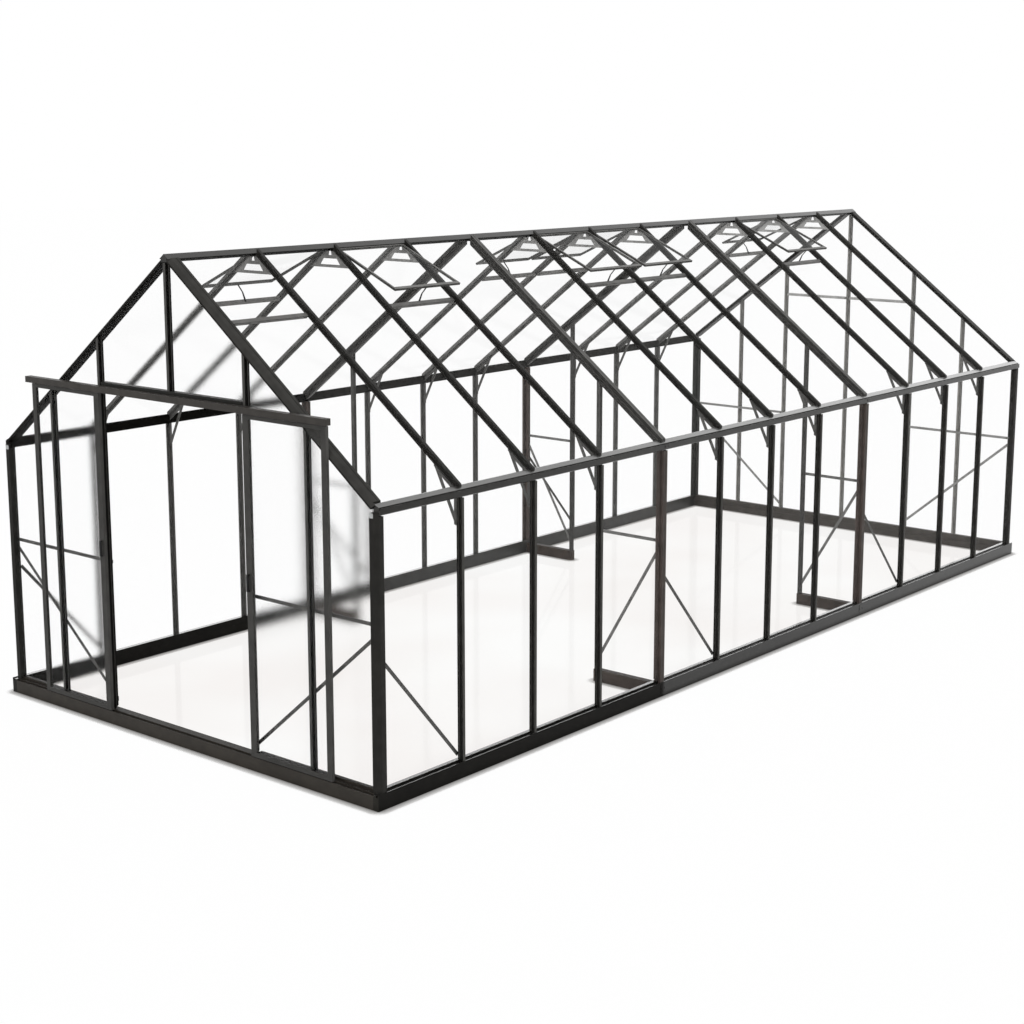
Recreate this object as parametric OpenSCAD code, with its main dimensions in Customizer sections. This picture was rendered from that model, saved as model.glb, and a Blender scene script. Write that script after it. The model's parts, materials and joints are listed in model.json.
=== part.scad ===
// Aluminium framed greenhouse with clear sheets, twin sliding doors and roof vents.
// X runs across the gable, Y from the door gable to the rear gable, Z up from the ground.

/* [Plan and heights] */
// Distance between two neighbouring glazing bars along the building
bay_pitch = 620; // [500:5:700]
// Half the width between the outer faces of the wall frames
half_width = 1586; // [1400:1:1700]
// How much wider the first and the last bay are than their neighbours
end_wide = 12; // [0:1:20]
// How much wider the bays beside the joints of the sections are
joint_wide = 20; // [14:1:28]
// How far each gable frame stands out past the first and last bay line
gable_out = 30; // [20:1:40]
// Height of the underside of the eaves beams
eave_z = 1549; // [1400:1:1800]
// Pitch of the roof
roof_pitch = 37.4; // [30:0.1:42]
// Distance from the middle to the side mullions of the gables
mullion_x = 1081; // [1000:1:1110]
// Distance from the middle to the door jambs
jamb_x = 620; // [580:1:650]
// Distance from the middle to the portal posts
portal_x = 1078; // [1000:1:1100]

/* [Glazing bars] */
// Depth of a glazing bar, outside to inside
bar_depth = 42; // [36:1:50]
// Width of the outer stem of a bar
stem_w = 20; // [16:1:26]
// Width of the flange that laps the sheet outside
lap_w = 38; // [32:1:44]
// Thickness of that flange
lap_t = 4; // [3:0.5:5]
// Width of the flange behind the sheet
seat_w = 30; // [26:1:34]
// Thickness of the flange behind the sheet
seat_t = 3; // [2:0.5:4]
// Width of the inner web of a bar
web_w = 10; // [8:1:14]
// How far the outer face of a wall bar stands out past the sheet
wall_proud = 24; // [18:1:28]
// How far the outer face of a roof bar stands out past the sheet
roof_proud = 26; // [22:1:30]
// Extra width of the bars where two sections of the building join
section_extra = 17; // [12:1:34]
// Extra depth of those bars, inwards
section_deep = 16; // [0:1:30]
// Width of the joint line in the middle of those bars
joint_w = 3; // [2:0.5:5]
// Depth of that joint line
joint_d = 5; // [2:0.5:8]
// Thickness of the polycarbonate sheets
sheet_t = 4; // [3:0.5:6]
// Gap left between a sheet's edge and the bar it slots into
sheet_clear = 1; // [0.5:0.1:2]

/* [Corner posts] */
// Width of a corner post, both ways
corner_w = 52; // [46:1:60]
// Height of the corner posts' front part above the underside of the eaves beams
post_rise = 22; // [0:1:30]
// Bevel on the outer edge of a corner post
corner_bevel = 22; // [10:1:28]

/* [Base] */
// How far the side base rails stand out past the wall frames
base_out = 6; // [6:1:20]
// How far the end base rails stand out past the gable frames
end_out = 20; // [14:1:26]
// Depth of the base rail behind the inner face of the bars
base_in = 5; // [2:1:12]
// Height of the base rail's ledge
ledge_z = 86; // [76:1:92]
// Height of the sill that carries the sheets
sill_z = 99; // [94:1:120]
// Height of the lip along the outside of the side rails
lip_z = 91; // [87:1:95]
// Height of the lip along the outside of the front rail
front_lip_z = 79; // [60:1:80]
// Thickness of those lips
lip_t = 5; // [3:1:6]
// Width of the guide groove behind the front lip
guide_w = 12; // [8:1:14]
// Depth of the guide groove
guide_d = 12; // [8:1:20]
// Height of the step on the inside of the rails
step_z = 56; // [40:1:70]
// Width of that step
step_w = 5; // [3:1:8]
// Length of the front rail's end that the side rails leave free
rail_notch = 40; // [30:1:44]
// Gap at the joints between rail, gutter and ridge sections
section_gap = 0.6; // [0.3:0.1:0.9]

/* [Eaves and ridge] */
// Width of the eaves beam
eave_w = 42; // [38:1:50]
// Height of the eaves beam at its back edge
eave_h = 62; // [54:1:70]
// How far the gutter stands out past the wall frames
gutter_out = 8; // [6:1:14]
// Height of the gutter's outer lip above the underside of the eaves beam
gutter_top = 42; // [38:1:46]
// Width of the gutter's outer lip
gutter_lip = 4; // [3:0.5:6]
// Width of the gutter's channel
gutter_w = 6; // [6:0.5:12]
// Depth of the gutter's channel
gutter_deep = 12; // [8:1:16]
// Height of the gutter's lower edge above the underside of the eaves beam
gutter_low = 7; // [4:1:12]
// Rounding of the gutter's lower edge
gutter_round = 4; // [2:0.5:6]
// Width of the flat strip along the back edge of the eaves beam
eave_flat = 6; // [4:0.5:10]
// Height of the foot of the beam's sloped face
eave_foot = 48; // [46:1:52]
// How far the rafters' stems run over the eaves beams
rafter_over = 24; // [10:1:30]
// How far the eaves beams stop short of the gables' outer faces
gutter_in = 21; // [12:1:28]
// Height of the roof's outer face above the back edge of the eaves beam
roof_rise = 28; // [18:1:34]
// Half the width of the ridge beam
ridge_half = 24; // [20:1:30]
// Height of the ridge beam under the cap
ridge_h = 18; // [14:1:30]
// Half the width of the ridge cap
cap_half = 34; // [30:1:44]
// Thickness of the ridge cap
cap_t = 4; // [3:0.5:6]
// Drop of the cap's crown below the line where the rafters' outer faces would meet
cap_drop = 23; // [20:1:32]
// Face width of the gable verges
verge_w = 28; // [24:1:36]
// Height of the rafters' outer faces above the verges
verge_drop = 14; // [8:1:16]
// Height of the flat strip below the verge's bevel
verge_face = 10; // [6:1:14]
// Depth of a verge, outside to inside
verge_d = 76; // [66:1:84]
// Depth of the verge's bevel
verge_bevel = 22; // [10:1:30]
// Width of the shadow lines on the verges
verge_line = 3; // [2:0.5:4]
// Width of the strip behind the rear shadow line of a verge
verge_strip = 18; // [14:1:22]
// Depth of the slot that holds the roof sheets
verge_slot = 8; // [6:1:10]

/* [Bracing] */
// Width of the flat bracing bars
brace_w = 20; // [14:1:26]
// Thickness of the flat bracing bars and plates
brace_t = 4; // [3:0.5:6]
// Height of the middle rails of the gables and portals
rail_z = 974; // [900:1:1000]
// Height of the upper end of the diagonals on the corner posts and portals
diag_top_z = 919; // [800:1:930]
// Height of the lower end of the diagonals
diag_foot_z = 145; // [120:1:200]
// Height of the upper end of the side wall diagonals
wall_diag_z = 803; // [700:1:850]
// Width of a portal post
portal_w = 26; // [20:1:32]
// Height of the portal's foot piece
portal_foot_z = 78; // [60:1:80]
// Width of the portal's foot piece
portal_foot_w = 45; // [36:1:60]
// Horizontal reach of the knee braces from the inner face of the wall
knee_reach = 143; // [120:1:200]
// Height of the knee braces' lower ends under the eaves
knee_drop = 150; // [130:1:200]
// Length of the corner plates at both ends of a knee brace
knee_plate = 50; // [40:1:80]
// Width of the cleats that hold the knee braces on the wall bars and rafters
knee_cleat = 14; // [8:1:20]
// Overlap of the gable braces and the corner posts
post_lap = 8; // [4:1:9]
// Overlap of the flat plates and the webs they are bolted to
web_seat = 6; // [3:1:8]
// Height of the ridge gussets' lower edge under the apex line
gusset_drop = 167; // [150:1:185]
// Height of a gusset's lower bar
gusset_bar = 17; // [12:1:24]
// Height of the opening above that bar
gusset_open = 36; // [28:1:42]
// Height of the web between the two openings
gusset_web = 20; // [12:1:26]
// Width of a gusset's sloping legs, measured along the level
gusset_leg = 58; // [50:1:66]
// How much wider each leg is at the top of the opening
gusset_taper = 20; // [10:1:26]
// Half the width of the upper opening at its foot
gusset_hole = 14; // [8:1:18]

/* [Vents] */
// Length of a vent sash down the slope
sash_l = 525; // [480:5:550]
// Width of a vent sash's side members
sash_w = 14; // [10:1:18]
// Width of a vent sash's lower member
sash_low_w = 24; // [18:1:30]
// Thickness of a vent sash
sash_t = 14; // [10:1:16]
// Gap between a sash and the bars at each side of it
sash_clear = 1; // [0.5:0.5:4]
// Height of a sash's hinge edge above the underside of the ridge
hinge_rise = 1; // [0:0.5:2]
// Depth of a vent's sheet below the sash's outer face
sash_rebate = 2; // [1:0.5:4]
// Angle that the vents stand open from the roof
vent_open = 13; // [6:0.5:15]
// Distance down the slope from the apex to the vent sills
vent_sill_s = 568; // [540:1:600]
// Width of the vent sills
vent_sill_w = 26; // [20:1:44]
// Thickness of the vent sills
vent_sill_t = 20; // [16:1:24]
// Thickness of the curved stays
stay_t = 6; // [4:1:8]
// How far the middle of a stay bows towards the ridge
stay_bow = 12; // [0:1:20]

/* [Doors] */
// Width of a door leaf
leaf_w = 631; // [614:1:632]
// Distance between the open left leaf's outer edge and the end of the track
left_end_gap = 44; // [4:1:60]
// Distance between the open right leaf's outer edge and the end of the track
right_end_gap = 12; // [4:1:60]
// Thickness of a door leaf
leaf_t = 20; // [18:1:26]
// Running clearance around the leaves
leaf_clear = 5; // [5:0.5:8]
// Clearance between a leaf's lower edge and the front lip
leaf_foot_gap = 6; // [5:0.5:10]
// Width of a leaf's outer stile
stile_w = 36; // [28:1:40]
// Width of a leaf's inner stile
meet_stile_w = 44; // [36:1:50]
// Height of a leaf's lower rail
leaf_rail_h = 27; // [22:1:34]
// Height of a leaf's upper rail
leaf_top_h = 22; // [18:1:30]
// Depth of the slot that holds a leaf's sheet
leaf_slot = 6; // [4:0.5:10]
// Length of the upper track
track_l = 2544; // [2480:1:2600]
// Depth of the upper track
track_d = 40; // [38:1:50]
// Height of the upper track
track_h = 36; // [34:1:48]
// Thickness of the track's walls
track_t = 3; // [2:0.5:4]
// Height of the track's underside
track_z = 1986; // [1850:1:2000]
// Width of the track's runner flange
runner_w = 8; // [7:0.5:10]
// Diameter of the door rollers
roller_d = 24; // [18:1:26]
// Width of the door rollers
roller_w = 7; // [5:0.5:8]
// Running gap between a roller and its flange
roller_gap = 0.3; // [0.2:0.1:0.5]
// Distance from a leaf's edges to its hangers
hanger_in = 90; // [60:1:140]
// Width of a hanger
hanger_w = 40; // [30:1:60]
// Distance from the middle of the runner flange to the middle of a roller
roller_in = 2; // [1:0.5:2.5]
// Distance from a leaf's outer face to its hanger plates
hanger_deep = 5; // [4:0.5:8]
// Height of the gable header behind the track
header_h = 56; // [50:1:70]
// Height of a door handle
handle_h = 95; // [70:1:120]
// Width of a door handle
handle_w = 16; // [12:1:22]
// How far a door handle stands out
handle_d = 15; // [12:1:24]
// Thickness of a handle's grip
handle_t = 5; // [3:0.5:8]
// Height of the middle of the handles
handle_z = 1066; // [950:1:1100]

/* [Hidden] */

bays = 12;
section_bays = 4;
length_y = bays * bay_pitch;
section_lines = [section_bays, 2 * section_bays];
plain_lines = [for (i = [1 : bays - 1]) if (i % section_bays != 0) i];
braced_bays = [0, section_bays, 2 * section_bays];
vents_right = [2, 5, 6, 9];
vents_left = [1, 5, 6, 10];
sills_right = concat([0], vents_right);

function bar_extra(line) = line % section_bays == 0 ? section_extra : 0;
// The lines of the joints are fixed; the bays at a section's ends are wider than the others
function wide_at(line) = line == 0 || line == bays ? end_wide : joint_wide;
function section_start(i) = i - i % section_bays;
function inner_pitch(i) = bay_pitch
  - (wide_at(section_start(i)) + wide_at(section_start(i) + section_bays)) / section_bays;
function line_y(i) = i % section_bays == 0 ? i * bay_pitch
  : section_start(i) * bay_pitch + wide_at(section_start(i))
    + (i % section_bays) * inner_pitch(i);
function bay_y0(b) = line_y(b) + bar_extra(b) / 2;
function bay_y1(b) = line_y(b + 1) - bar_extra(b + 1) / 2;
narrow_bay = min(inner_pitch(0), inner_pitch(section_bays));

base_half = half_width + base_out;
inner_x = half_width - bar_depth;
sheet_x = half_width - wall_proud - sheet_t;
rail_in_x = inner_x - base_in;
front_y = -gable_out;
base_front_y = front_y - end_out;
gable_in_y = front_y + bar_depth;
track_front_y = front_y - track_d;
// The bounding box is centred on the origin along Y
shift_y = -(track_front_y + length_y - base_front_y) / 2;

eave_back_x = half_width - eave_w;
eave_top_z = eave_z + eave_h;
channel_x = gutter_out - gutter_lip - gutter_w;
eave_fall = (eave_h - eave_foot) / (eave_w - eave_flat + channel_x);
slope = tan(roof_pitch);
apex_z = eave_top_z + roof_rise + eave_back_x * slope;
cap_z = apex_z - cap_drop;
ridge_z = cap_z - cap_half * slope - ridge_h;
function cap_under(x) = cap_z - cap_t - x * slope;
slope_l = eave_back_x / cos(roof_pitch);
verge_under = verge_drop + verge_w;
function under(v) = v / cos(roof_pitch);
function roof_z(x, v) = apex_z - abs(x) * slope - under(v);

left_open_x = track_l / 2 - left_end_gap - leaf_w;
right_open_x = track_l / 2 - right_end_gap - leaf_w;
leaf_back_y = front_y - leaf_clear;
leaf_front_y = leaf_back_y - leaf_t;
leaf_z = front_lip_z + leaf_foot_gap;
leaf_top_z = track_z - leaf_clear;
roller_z = track_z + track_t + roller_gap + roller_d / 2;
runner_back_y = track_front_y + track_t + runner_w;
roller_y = runner_back_y - runner_w / 2 + roller_in;
hanger_y = leaf_front_y + hanger_deep;
seat_gap = 0.2;

module place() translate([0, shift_y, 0]) children();
module both_sides() { children(); mirror([1, 0, 0]) children(); }
module both_ends() {
  children();
  translate([0, length_y, 0]) mirror([0, 1, 0]) children();
}

function bar_in(extra) = bar_depth + (extra > 0 ? section_deep : 0);

// ---- Bar profiles: x across the bar, y from the outer face (0) inwards (negative)
module bar_half(extra, proud) {
  e = extra / 2;
  d = bar_in(extra);
  s = stem_w / 2 + e;
  l = lap_w / 2 + e;
  f = seat_w / 2 + e;
  w = web_w / 2 + e;
  polygon([[0, 0], [s, 0], [s, -(proud - lap_t)], [l, -(proud - lap_t)], [l, -proud],
    [s, -proud], [s, -(proud + sheet_t)], [f, -(proud + sheet_t)],
    [f, -(proud + sheet_t + seat_t)], [w, -(proud + sheet_t + seat_t)],
    [w, -d], [0, -d]]);
}
module bar_profile(extra, proud) {
  difference() {
    union() {
      bar_half(extra, proud);
      mirror([1, 0]) bar_half(extra, proud);
    }
    if (extra > 0) translate([-joint_w / 2, -joint_d]) square([joint_w, joint_d + 1]);
  }
}
module stem_profile(extra, proud) {
  translate([-(stem_w + extra) / 2, -(proud - lap_t)])
    square([stem_w + extra, proud - lap_t]);
}

// A wall bar standing with its outer face on the plane x = 0, facing +X
module wall_bar(extra, top) {
  translate([0, 0, sill_z]) linear_extrude(top - sill_z)
    rotate(-90) bar_profile(extra, wall_proud);
  translate([0, 0, ledge_z]) linear_extrude(sill_z - ledge_z)
    rotate(-90) stem_profile(extra, wall_proud);
}
module wall_bars(lines, extra) {
  for (i = lines) translate([half_width, line_y(i), 0]) wall_bar(extra, eave_z);
}

// A piece laid on the right hand slope: x down the slope from the apex, z outwards
module on_slope() translate([0, 0, apex_z]) rotate([0, roof_pitch, 0]) children();
// The space between the ridge and the eaves beam, passing under the ridge cap
module roof_span(y0, y1) {
  clear = cap_half + seat_gap;
  translate([0, y1, 0]) rotate([90, 0, 0]) linear_extrude(y1 - y0)
    polygon([[ridge_half, 0], [ridge_half, cap_under(ridge_half) - seat_gap],
      [clear, cap_under(cap_half) - seat_gap], [clear, apex_z], [eave_back_x, apex_z],
      [eave_back_x, 0]]);
}
// The space over the eaves beam that the rafters' stems run through
module over_eave(y0, y1) {
  x0 = eave_back_x - 1;
  x1 = eave_back_x + eave_flat;
  x2 = eave_back_x + rafter_over;
  z = eave_top_z + seat_gap;
  translate([0, y1, 0]) rotate([90, 0, 0]) linear_extrude(y1 - y0)
    polygon([[x0, apex_z], [x0, z], [x1, z], [x2, z - (x2 - x1) * eave_fall], [x2, apex_z]]);
}
module rafter(extra) {
  intersection() {
    on_slope() rotate([0, 90, 0]) rotate(90) linear_extrude(slope_l + bar_depth)
      bar_profile(extra, roof_proud);
    union() {
      roof_span(-lap_w, lap_w);
      over_eave(-lap_w, lap_w);
    }
  }
}
module rafters(lines, extra) {
  for (i = lines) translate([0, line_y(i), 0]) rafter(extra);
}

// ---- Base
module rail_body(lip, out) {
  in = out + bar_depth + base_in;
  polygon([[0, 0], [0, lip], [-lip_t, lip], [-lip_t, ledge_z - guide_d],
    [-lip_t - guide_w, ledge_z - guide_d], [-lip_t - guide_w, ledge_z],
    [-in, ledge_z], [-in, step_z], [-in - step_w, step_z], [-in - step_w, 0]]);
}
module rail_sill(out) {
  front = out + wall_proud - lap_t + sheet_clear;
  in = out + bar_depth + base_in;
  polygon([[-front, ledge_z], [-front, sill_z], [-in, sill_z], [-in, ledge_z]]);
}
module side_rail_section(y0, y1) {
  translate([base_half, y1, 0]) rotate([90, 0, 0]) linear_extrude(y1 - y0)
    rail_body(lip_z, base_out);
}
module side_sill_section(y0, y1) {
  translate([base_half, y1, 0]) rotate([90, 0, 0]) linear_extrude(y1 - y0)
    rail_sill(base_out);
}
module end_notch() {
  translate([0, base_front_y - 1, -1])
    cube([base_half - rail_notch, gable_in_y + base_in + step_w - base_front_y + 1, sill_z]);
}
module base_side() {
  g = section_gap / 2;
  post_end = front_y + corner_w;
  for (k = [0 : 2]) {
    y0 = k == 0 ? base_front_y : section_lines[k - 1] * bay_pitch + g;
    y1 = k == 2 ? length_y - base_front_y : section_lines[k == 2 ? 1 : k] * bay_pitch - g;
    s0 = k == 0 ? post_end : y0;
    s1 = k == 2 ? length_y - post_end : y1;
    difference() {
      union() {
        side_rail_section(y0, y1);
        side_sill_section(s0, s1);
      }
      end_notch();
      translate([0, length_y, 0]) mirror([0, 1, 0]) end_notch();
    }
  }
}
module base_end(lip, sill_runs) {
  rail_half = base_half - rail_notch;
  translate([-rail_half, base_front_y, 0]) rotate([90, 0, 90])
    linear_extrude(2 * rail_half) mirror([1, 0]) rail_body(lip, end_out);
  for (r = sill_runs) translate([r[0], base_front_y, 0]) rotate([90, 0, 90])
    linear_extrude(r[1] - r[0]) mirror([1, 0]) rail_sill(end_out);
}
corner_in_x = half_width - corner_w;
front_runs = [[-corner_in_x, -jamb_x - lap_w / 2], [jamb_x + lap_w / 2, corner_in_x]];
back_runs = [[-corner_in_x, corner_in_x]];

module base_rail_left() color("#2b2a28") place() mirror([1, 0, 0]) base_side();
module base_rail_right() color("#2b2a28") place() base_side();
module base_rail_front() color("#3b3733") place() base_end(front_lip_z, front_runs);
module base_rail_back() color("#3b3733") place() translate([0, length_y, 0])
  mirror([0, 1, 0]) base_end(lip_z, back_runs);

// ---- Posts and bars
module corner_post() {
  w = corner_w;
  b = min(corner_bevel, gutter_in - 1);
  rise_d = gutter_in - seat_gap;
  translate([half_width, front_y, ledge_z]) linear_extrude(eave_z - ledge_z)
    polygon([[-w, 0], [-b, 0], [0, b], [0, w], [-bar_depth, w], [-bar_depth, bar_depth],
      [-w, bar_depth]]);
  if (post_rise > 0) translate([half_width, front_y, eave_z]) linear_extrude(post_rise)
    polygon([[-eave_w, 0], [-b, 0], [0, b], [0, rise_d], [-eave_w, rise_d]]);
}
module corner_posts() color("#2f2d2a") place() both_ends() both_sides() corner_post();
module wall_bars_left() color("#3a3835") place() mirror([1, 0, 0])
  wall_bars(plain_lines, 0);
module wall_bars_right() color("#3a3835") place() wall_bars(plain_lines, 0);
module section_posts() color("#3a3835") place() both_sides()
  wall_bars(section_lines, section_extra);

// ---- Eaves beam with gutter
module eave_profile() {
  g = gutter_out;
  h = gutter_top;
  low = gutter_low;
  c = gutter_round;
  polygon([[-eave_w, 0], [-wall_proud, 0], [0, low], [g - c, low], [g, low + c], [g, h],
    [g - gutter_lip, h], [g - gutter_lip, h - gutter_deep], [channel_x, h - gutter_deep],
    [channel_x, eave_foot], [-eave_w + eave_flat, eave_h], [-eave_w, eave_h]]);
}
module eave_section(y0, y1) {
  translate([half_width, y1, eave_z]) rotate([90, 0, 0]) linear_extrude(y1 - y0)
    eave_profile();
}
module eaves() {
  g = section_gap / 2;
  y_start = front_y + gutter_in;
  for (k = [0 : 2]) {
    y0 = k == 0 ? y_start : section_lines[k - 1] * bay_pitch + g;
    y1 = k == 2 ? length_y - y_start : section_lines[k == 2 ? 1 : k] * bay_pitch - g;
    eave_section(y0, y1);
  }
}
module eaves_left() color("#4a4945") place() mirror([1, 0, 0]) eaves();
module eaves_right() color("#4a4945") place() eaves();

// ---- Ridge, rafters and verges
module ridge_profile() {
  drop = cap_half * slope;
  polygon([[0, cap_z], [cap_half, cap_z - drop], [cap_half, cap_under(cap_half)],
    [ridge_half, cap_under(ridge_half)], [ridge_half, ridge_z], [-ridge_half, ridge_z],
    [-ridge_half, cap_under(ridge_half)], [-cap_half, cap_under(cap_half)],
    [-cap_half, cap_z - drop]]);
}
module ridge() color("#5a5955") place() {
  g = section_gap / 2;
  for (k = [0 : 2]) {
    y0 = k == 0 ? front_y : section_lines[k - 1] * bay_pitch + g;
    y1 = k == 2 ? length_y - front_y : section_lines[k == 2 ? 1 : k] * bay_pitch - g;
    translate([0, y1, 0]) rotate([90, 0, 0]) linear_extrude(y1 - y0) ridge_profile();
  }
}
module rafters_left() color("#3a3835") place() mirror([1, 0, 0]) rafters(plain_lines, 0);
module rafters_right() color("#3a3835") place() rafters(plain_lines, 0);
module section_rafters() color("#3a3835") place() both_sides()
  rafters(section_lines, section_extra);

// Section of a verge: x from its front face inwards, y from the roof's outer face down
module verge_profile() {
  d = verge_d;
  n = verge_line;
  top = -verge_drop;
  face = top - verge_w + verge_face;
  low = -roof_proud - sheet_t;
  polygon([[verge_bevel, top], [0, face], [n, face], [n, face - n], [0, face - n],
    [0, top - verge_w], [d, top - verge_w], [d, low], [d - verge_slot, low],
    [d - verge_slot, -roof_proud], [d, -roof_proud], [d, top], [d - verge_strip, top],
    [d - verge_strip, top - n], [d - verge_strip - n, top - n],
    [d - verge_strip - n, top]]);
}
// Cut square to the slope, its lower end passing in front of the eaves beam
module verge() {
  end_s = (eave_back_x + verge_under * sin(roof_pitch)) / cos(roof_pitch);
  translate([0, front_y, 0]) intersection() {
    on_slope() rotate([0, 90, 0]) rotate(90) linear_extrude(end_s) verge_profile();
    union() {
      roof_span(-1, verge_d + 1);
      translate([eave_back_x - 1, -1, eave_z + seat_gap])
        cube([corner_w, gutter_in - seat_gap + 1, apex_z]);
    }
  }
}
module verge_front() color("#42403d") place() both_sides() verge();
module verge_back() color("#42403d") place() translate([0, length_y, 0])
  mirror([0, 1, 0]) both_sides() verge();

// ---- Gable bars: stand on the sill and end under the verge
// Everything of a gable that lies under the verges, inside the corner posts
module gable_cut() {
  translate([0, front_y - 1, 0]) rotate([-90, 0, 0]) mirror([0, 1, 0])
    linear_extrude(bar_depth + 2)
    polygon([[-eave_back_x, ledge_z], [eave_back_x, ledge_z],
      [eave_back_x, roof_z(eave_back_x, verge_under)],
      [ridge_half, roof_z(ridge_half, verge_under)],
      [-ridge_half, roof_z(ridge_half, verge_under)],
      [-eave_back_x, roof_z(eave_back_x, verge_under)]]);
}
module gable_bar(x, z0) {
  intersection() {
    translate([x, front_y, z0]) linear_extrude(apex_z - z0)
      rotate(180) bar_profile(0, wall_proud);
    gable_cut();
  }
  if (z0 == sill_z) translate([x, front_y, ledge_z]) linear_extrude(sill_z - ledge_z)
    rotate(180) stem_profile(0, wall_proud);
}
module gable_bars_front() color("#3a3835") place() {
  both_sides() {
    gable_bar(mullion_x, sill_z);
    gable_bar(jamb_x, sill_z);
  }
  gable_bar(0, header_top_z);
}
module gable_bars_back() color("#3a3835") place() translate([0, length_y, 0])
  mirror([0, 1, 0]) {
    both_sides() {
      gable_bar(mullion_x, sill_z);
      gable_bar(jamb_x, sill_z);
    }
    gable_bar(0, sill_z);
  }

// ---- Head rails between the jambs
header_top_z = track_z + header_h;
head_half = jamb_x - lap_w / 2;
module head_rails() color("#3a3835") place() {
  translate([-head_half, front_y, track_z]) cube([2 * head_half, bar_depth, header_h]);
  both_sides()
    translate([lap_w / 2, length_y - front_y - bar_depth, header_top_z - brace_w])
      cube([head_half - lap_w / 2, bar_depth, brace_w]);
}

// ---- Flat bracing bars, drawn between two points of a plane and laid against the frame
module flat_bar(x0, z0, x1, z1, wide) {
  l = sqrt(pow(x1 - x0, 2) + pow(z1 - z0, 2));
  a = atan2(z1 - z0, x1 - x0);
  translate([x0, 0, z0]) rotate([0, -a, 0]) translate([0, 0, -wide / 2])
    cube([l, brace_t, wide]);
}
brace_end_x = corner_in_x + post_lap;
module gable_braces() color("#4a4844") place() both_ends() both_sides()
  translate([0, gable_in_y, 0]) {
    flat_bar(jamb_x - web_w / 2, rail_z, brace_end_x, rail_z, brace_w);
    intersection() {
      flat_bar(jamb_x - brace_w, diag_foot_z - brace_w, brace_end_x + brace_w,
        diag_top_z + brace_w, brace_w);
      translate([jamb_x - web_w / 2, -1, sill_z + seat_gap])
        cube([brace_end_x - jamb_x + web_w / 2, brace_t + 2,
          rail_z - brace_w / 2 - 1 - sill_z]);
    }
  }
module wall_brace(bay) {
  first = bay == 0 ? front_y + corner_w : bay_y0(bay) + web_w / 2;
  last = bay_y1(bay) - web_w / 2;
  translate([inner_x, 0, 0]) rotate([0, 0, 90]) intersection() {
    flat_bar(first, wall_diag_z, last, sill_z + brace_w, brace_w);
    translate([first, 0, 0]) cube([last - first, brace_t, eave_z]);
  }
}
module wall_braces() color("#4a4844") place() both_sides()
  for (b = braced_bays) wall_brace(b);

// ---- Portals: short frames that stiffen the walls at the section joints
portal_in_x = portal_x - portal_w / 2;
portal_end_x = half_width - bar_in(section_extra);
module portal_foot() {
  translate([portal_in_x, -portal_foot_w / 2, 0])
    cube([rail_in_x - step_w - portal_in_x, portal_foot_w, step_z]);
  translate([portal_in_x, -portal_foot_w / 2, step_z])
    cube([rail_in_x - portal_in_x, portal_foot_w, portal_foot_z - step_z]);
}
module portal_post() {
  under_v = bar_in(section_extra);
  intersection() {
    translate([portal_in_x, -portal_w / 2, portal_foot_z])
      cube([portal_w, portal_w, apex_z]);
    translate([0, portal_w, 0]) rotate([90, 0, 0]) linear_extrude(2 * portal_w)
      polygon([[0, 0], [inner_x, 0], [inner_x, roof_z(inner_x, under_v) - seat_gap],
        [0, roof_z(0, under_v) - seat_gap]]);
  }
}
module portal_brace() {
  x0 = portal_in_x + portal_w;
  l = portal_end_x - x0;
  translate([0, -brace_t / 2, 0]) {
    flat_bar(x0, rail_z + brace_w / 2, portal_end_x, rail_z + brace_w / 2, brace_w);
    intersection() {
      flat_bar(x0 - brace_w, diag_foot_z - brace_w, portal_end_x + brace_w,
        diag_top_z + brace_w, brace_w);
      translate([x0, -1, 0]) cube([l, brace_t + 2, rail_z]);
    }
  }
}
module at_portals() both_sides()
  for (i = section_lines) translate([0, line_y(i), 0]) children();
module portal_feet() color("#3b3733") place() at_portals() portal_foot();
module portal_posts() color("#3a3835") place() at_portals() portal_post();
module portal_braces() color("#4a4844") place() at_portals() portal_brace();

// ---- Knee braces between wall bars and rafters
module knee_brace() {
  rx = inner_x - knee_reach;
  roof_in = bar_depth - web_seat;
  r = [rx, roof_z(rx, roof_in)];
  q = [inner_x + web_seat, eave_z - knee_drop];
  d = (q - r) / norm(q - r);
  t = [cos(roof_pitch), -sin(roof_pitch)];
  n = [-d[1], d[0]] * brace_w / 2;
  k = knee_plate;
  end_x = inner_x - seat_gap;
  low_v = bar_depth + knee_cleat;
  wall_lim = half_width - wall_proud - sheet_t - seat_t - seat_gap;
  roof_v = roof_proud + sheet_t + seat_t + seat_gap;
  translate([0, -web_w / 2, 0]) rotate([90, 0, 0]) linear_extrude(brace_t)
    intersection() {
      union() {
        polygon([r + n, q + n, q - n, r - n]);
        polygon([r - t * k / 2, r + t * k / 2, r + d * k]);
        polygon([[rx, roof_z(rx, roof_in)], [end_x, roof_z(end_x, roof_in)],
          [end_x, roof_z(end_x, low_v)], [rx, roof_z(rx, low_v)]]);
        translate([inner_x - knee_cleat, q[1]])
          square([knee_cleat + web_seat, eave_z - q[1]]);
      }
      polygon([[0, 0], [wall_lim, 0], [wall_lim, roof_z(wall_lim, roof_v)],
        [0, roof_z(0, roof_v)]]);
    }
}
module knee_braces() color("#4a4844") place() both_sides()
  for (i = plain_lines) translate([0, line_y(i), 0]) knee_brace();

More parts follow.
